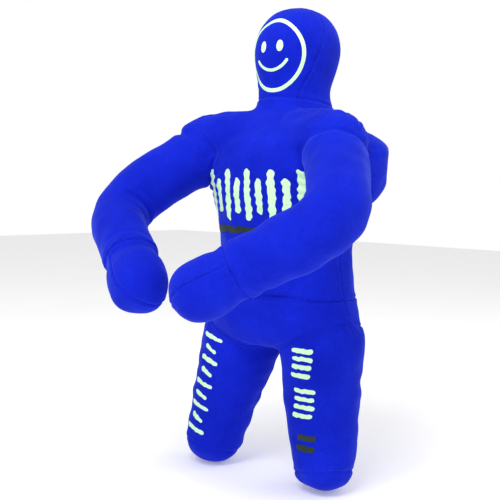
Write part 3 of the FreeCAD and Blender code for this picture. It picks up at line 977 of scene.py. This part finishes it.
def zip_slider_metal():
    n = Nodes("painted_zip_metal")
    scuffs = n.remap(n.noise(420, 5, 0.7), 0.60, 0.72, 0, 0.7)
    color = n.mix(scuffs, (0.012, 0.014, 0.045), (0.30, 0.30, 0.32))
    roughness = n.remap(n.noise(300, 3), 0.3, 0.7, 0.26, 0.44)
    return n.finish(color, roughness, n.bump(n.noise(900, 2), 0.08, 0.0002), Metallic=0.35)


def studio_paper():
    """White paper that glows a little, so that the floor is as white as the background."""
    n = Nodes("studio_floor_paper")
    tone = n.remap(n.noise(3, 3), 0.3, 0.7, 0, 1)
    color = n.mix(tone, (0.93, 0.93, 0.935), (0.96, 0.96, 0.96))
    roughness = n.remap(n.noise(60, 3), 0.3, 0.7, 0.70, 0.80)
    return n.finish(color, roughness, n.bump(n.noise(300, 3), 0.05, 0.0005),
                    Emission_Color=(1.0, 1.0, 1.0, 1.0), Emission_Strength=0.22)


def dress(piece, material):
    piece.data.materials.clear()
    piece.data.materials.append(material)


# ---- prints ----
INK = 0.0005  # how far a print stands off the cloth
SAME_POINT = 0.00002


def strokes_field(u, v, strokes, rough=0.0, seed=5):
    """Below zero inside any of the strokes (u0, v0, u1, v1, half width at start, at end)."""
    best = np.full(len(u), 1.0)
    for u0, v0, u1, v1, w0, w1 in strokes:
        du, dv = u1 - u0, v1 - v0
        t = np.clip(((u - u0) * du + (v - v0) * dv) / (du * du + dv * dv), 0, 1)
        gap = np.hypot(u - u0 - t * du, v - v0 - t * dv) - (w0 + t * (w1 - w0))
        best = np.minimum(best, gap)
    plane = np.stack([u, np.zeros_like(u), v], axis=1)
    return best + rough * ripples(plane, 0.012, seed, waves=10)


def print_film(name, source, inside, material, node):
    """A thin film cut from the cloth's own surface wherever inside is below zero."""
    keep = inside(points_of(source)) < VOXEL
    work = bmesh.new()
    work.from_mesh(source.data)
    work.verts.ensure_lookup_table()
    bmesh.ops.delete(work, geom=[v for v in work.verts if not keep[v.index]], context="VERTS")
    bmesh.ops.triangulate(work, faces=work.faces[:])
    bmesh.ops.subdivide_edges(work, edges=work.edges[:], cuts=1, use_grid_fill=True)
    bmesh.ops.triangulate(work, faces=work.faces[:])
    work.verts.index_update()
    co = np.array([v.co for v in work.verts])
    triangles = np.array([[v.index for v in f.verts] for f in work.faces])
    work.free()
    vertices, faces = clip(co, triangles, inside(co))
    film = new_piece(name, vertices, faces)
    work = bmesh.new()
    work.from_mesh(film.data)
    bmesh.ops.remove_doubles(work, verts=work.verts[:], dist=SAME_POINT)
    bmesh.ops.dissolve_degenerate(work, edges=work.edges[:], dist=SAME_POINT)
    work.to_mesh(film.data)
    work.free()
    set_points(film, points_of(film) + normals_of(film) * INK)
    shade_smooth(film)
    thick = film.modifiers.new("thick", "SOLIDIFY")
    thick.thickness = INK * 2
    thick.offset = -1
    apply_modifiers(film)
    dress(film, material)
    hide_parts(node)
    return film


def clip(co, triangles, field):
    """The part of a triangle mesh where the field is below zero, cut along its zero line."""
    vertices = [tuple(p) for p in co]
    cuts = {}
    faces = []

    def cut(a, b):
        key = (min(a, b), max(a, b))
        if key not in cuts:
            share = field[key[0]] / (field[key[0]] - field[key[1]])
            cuts[key] = len(vertices)
            vertices.append(tuple(co[key[0]] + (co[key[1]] - co[key[0]]) * share))
        return cuts[key]

    below = field < 0
    for a, b, c in triangles:
        count = int(below[a]) + int(below[b]) + int(below[c])
        if count == 3:
            faces.append((a, b, c))
        elif count:
            for _ in range(2):
                if bool(below[a]) != (count == 1):
                    a, b, c = b, c, a
            if count == 1:
                faces.append((a, cut(a, b), cut(a, c)))
            else:
                faces.append((cut(a, b), b, c))
                faces.append((cut(a, b), c, cut(a, c)))
    used = sorted({i for face in faces for i in face})
    renumber = {old: new for new, old in enumerate(used)}
    return [vertices[i] for i in used], [tuple(renumber[i] for i in face) for face in faces]


FACE_Z = 0.957
FACE_RING = 0.0755  # middle of the ring's stroke, round the hood
FACE_STROKE = 0.0042  # half the stroke
EYE = (0.0225, 0.018)  # across and up from the middle of the face
EYE_HALF_SIZE = (0.0080, 0.0125)
MOUTH_Z = 0.012  # the middle of the mouth's circle
MOUTH_RADIUS = 0.046
MOUTH_STROKE = 0.0032
MOUTH_HALF_TURN = math.radians(57)


def face_field(co):
    """A ring with two round eyes and a plain arc, wrapped round the hood's front."""
    turn = np.arctan2(co[:, 0], HIPS_Y + 0.050 - co[:, 1])
    u = turn * 0.094
    v = co[:, 2] - FACE_Z
    ring = np.abs(np.hypot(u, v * 0.97) - FACE_RING) - FACE_STROKE
    eyes = np.minimum(*[(np.hypot((u - x) / EYE_HALF_SIZE[0], (v - EYE[1]) / EYE_HALF_SIZE[1]) - 1)
                        * EYE_HALF_SIZE[0] for x in (-EYE[0], EYE[0])])
    arc = np.abs(np.hypot(u, v - MOUTH_Z) - MOUTH_RADIUS) - MOUTH_STROKE
    low = np.abs(np.arctan2(u, -(v - MOUTH_Z))) - MOUTH_HALF_TURN
    ends = np.minimum(*[np.hypot(u - side * MOUTH_RADIUS * math.sin(MOUTH_HALF_TURN),
                                 v - MOUTH_Z + MOUTH_RADIUS * math.cos(MOUTH_HALF_TURN))
                        - MOUTH_STROKE for side in (-1, 1)])
    mouth = np.minimum(np.maximum(arc, low * MOUTH_RADIUS), ends)
    face = np.minimum(np.minimum(ring, eyes), mouth)
    return np.where(co[:, 1] < HIPS_Y + 0.045, face, 1.0)


def chest_bars():
    """Upright rounded bars in a row, long and short in turn."""
    strokes = []
    for k in range(9):
        u = -0.134 + k * 0.0325
        v = (0.692, 0.596) if k % 2 == 0 else (0.672, 0.612)
        strokes.append((u, v[0], u, v[1], 0.0085, 0.0085))
    return strokes


def chest_band():
    """Short dark strokes that run together into one ragged band."""
    return [(-0.118 + k * 0.026, 0.566, -0.104 + k * 0.026, 0.566 + 0.003 * (k % 2),
             0.0085, 0.0075) for k in range(9)]


def bar_stack(u, v, pitch, half_length, half, count):
    """Level bars of one length, one above the other."""
    rows = [v + (k - (count - 1) / 2) * pitch for k in range(count)]
    return [(u - half_length, row, u + half_length, row, half, half) for row in rows]


def bar_ladder():
    """A ladder of slanted bars down the leg, long and short in turn."""
    strokes = []
    for k in range(9):
        u = -0.128 - 0.0050 * k
        v = 0.310 - 0.0275 * k
        half_length = 0.024 if k % 2 == 0 else 0.014
        strokes.append((u - half_length, v + 0.006, u + half_length, v - 0.006, 0.0056, 0.0042))
    return strokes


def front_only(field, co, limit=-0.02):
    return np.where(co[:, 1] < HIPS_Y + limit, field, 1.0)


def make_prints(pieces):
    pale = screen_print("pale_green_ink", (0.66, 0.98, 0.58), (0.42, 0.70, 0.52))
    dark = screen_print("dark_olive_ink", (0.012, 0.030, 0.012), (0.012, 0.022, 0.060))
    torso = pieces["torso_skin"]
    bend_at_neck(print_film("face_mark", pieces["hood_skin"], face_field, pale,
                            "face_print"))

    def chest(strokes, rough, seed):
        return lambda co: front_only(strokes_field(co[:, 0], co[:, 2], strokes, rough, seed), co)

    bend_across_waist(print_film("chest_slashes", torso, chest(chest_bars(), 0.0011, 5), pale,
                                 "chest_slash_print"))
    bend_across_waist(print_film("chest_blocks", torso, chest(chest_band(), 0.0008, 6), dark,
                                 "chest_block_print"))
    left_pale = (bar_stack(0.130, 0.286, 0.0175, 0.021, 0.0048, 4)
                 + bar_stack(0.144, 0.202, 0.0175, 0.021, 0.0048, 4))
    left_dark = bar_stack(0.156, 0.118, 0.0220, 0.017, 0.0062, 2)
    for name, label, strokes, ink, slot, node in (
            ("left", "left_leg_pale_mark", left_pale, pale, "pale_print", "left_leg_pale_print"),
            ("left", "left_leg_dark_mark", left_dark, dark, "dark_print", "left_leg_dark_print"),
            ("right", "right_leg_mark", bar_ladder(), pale, "pale_print", "right_leg_print")):
        def on_leg(co):
            return front_only(strokes_field(co[:, 0], co[:, 2], strokes, 0.0006, 8), co, 0.0)

        bend_at_hip(print_film(label, pieces["leg_skin_" + name], on_leg, ink, node))


# ---- camera and light ----
def make_camera():
    azimuth = math.radians(38.0)
    distance = 2.033
    data = bpy.data.cameras.new("camera")
    camera = new_object("camera", data)
    camera.location = body(math.sin(azimuth) * distance, -math.cos(azimuth) * distance, 0.663)
    forward = Vector((-math.sin(azimuth), math.cos(azimuth), -math.tan(math.radians(4.04))))
    turn = forward.normalized().to_track_quat("-Z", "Y").to_matrix().to_4x4()
    camera.rotation_euler = (turn @ Matrix.Rotation(math.radians(1.35), 4, "Z")).to_euler()
    data.sensor_width = 36.0
    data.lens = 63.9
    data.shift_x = -0.0584
    bpy.context.scene.camera = camera


def area_light(name, place, size, power):
    data = bpy.data.lights.new(name, "AREA")
    data.size = size
    data.energy = power
    light = new_object(name, data)
    light.location = place
    light.rotation_euler = (body(0, 0, 0.55) - Vector(place)).to_track_quat("-Z", "Y").to_euler()


AMBIENT = 0.62  # strength of the studio's even light


def make_stage():
    world = bpy.data.worlds.new("studio")
    world.use_nodes = True
    tree = world.node_tree
    seen = tree.nodes.new("ShaderNodeLightPath").outputs["Is Camera Ray"]
    strength = tree.nodes.new("ShaderNodeMapRange")
    strength.inputs["To Min"].default_value = AMBIENT
    strength.inputs["To Max"].default_value = 1.0
    tree.links.new(seen, strength.inputs["Value"])
    tree.nodes["Background"].inputs["Color"].default_value = (1, 1, 1, 1)
    tree.links.new(strength.outputs["Result"], tree.nodes["Background"].inputs["Strength"])
    bpy.context.scene.world = world
    bpy.context.scene.view_settings.view_transform = "Standard"
    area_light("key", (0.5, -2.0, 3.3), 1.6, 88)
    area_light("fill", (2.6, -2.2, 1.5), 2.0, 16)
    area_light("rim", (1.6, 2.4, 2.2), 1.6, 16)
    span = 8.0
    corners = [(-span, -span, 0), (span, -span, 0), (span, span, 0), (-span, span, 0)]
    floor = new_piece("floor", corners, [(0, 1, 2, 3)])
    dress(floor, studio_paper())


make_camera()
make_stage()
skin, chart = shape_skin()
pieces, stitches = hang_parts(skin, chart)
cloth = brushed_cloth()
for piece in pieces.values():
    dress(piece, cloth)
thread = sewing_thread()
for piece in stitches.values():
    dress(piece, thread)
make_prints(pieces)
for node, material in (("zip_tape_left", zip_tape_cloth), ("zip_tape_right", zip_tape_cloth),
                       ("zip_coil", zip_coil_plastic), ("zip_slider", zip_slider_metal),
                       ("zip_pull", zip_slider_metal)):
    dress(frame["nodes"][node], material())
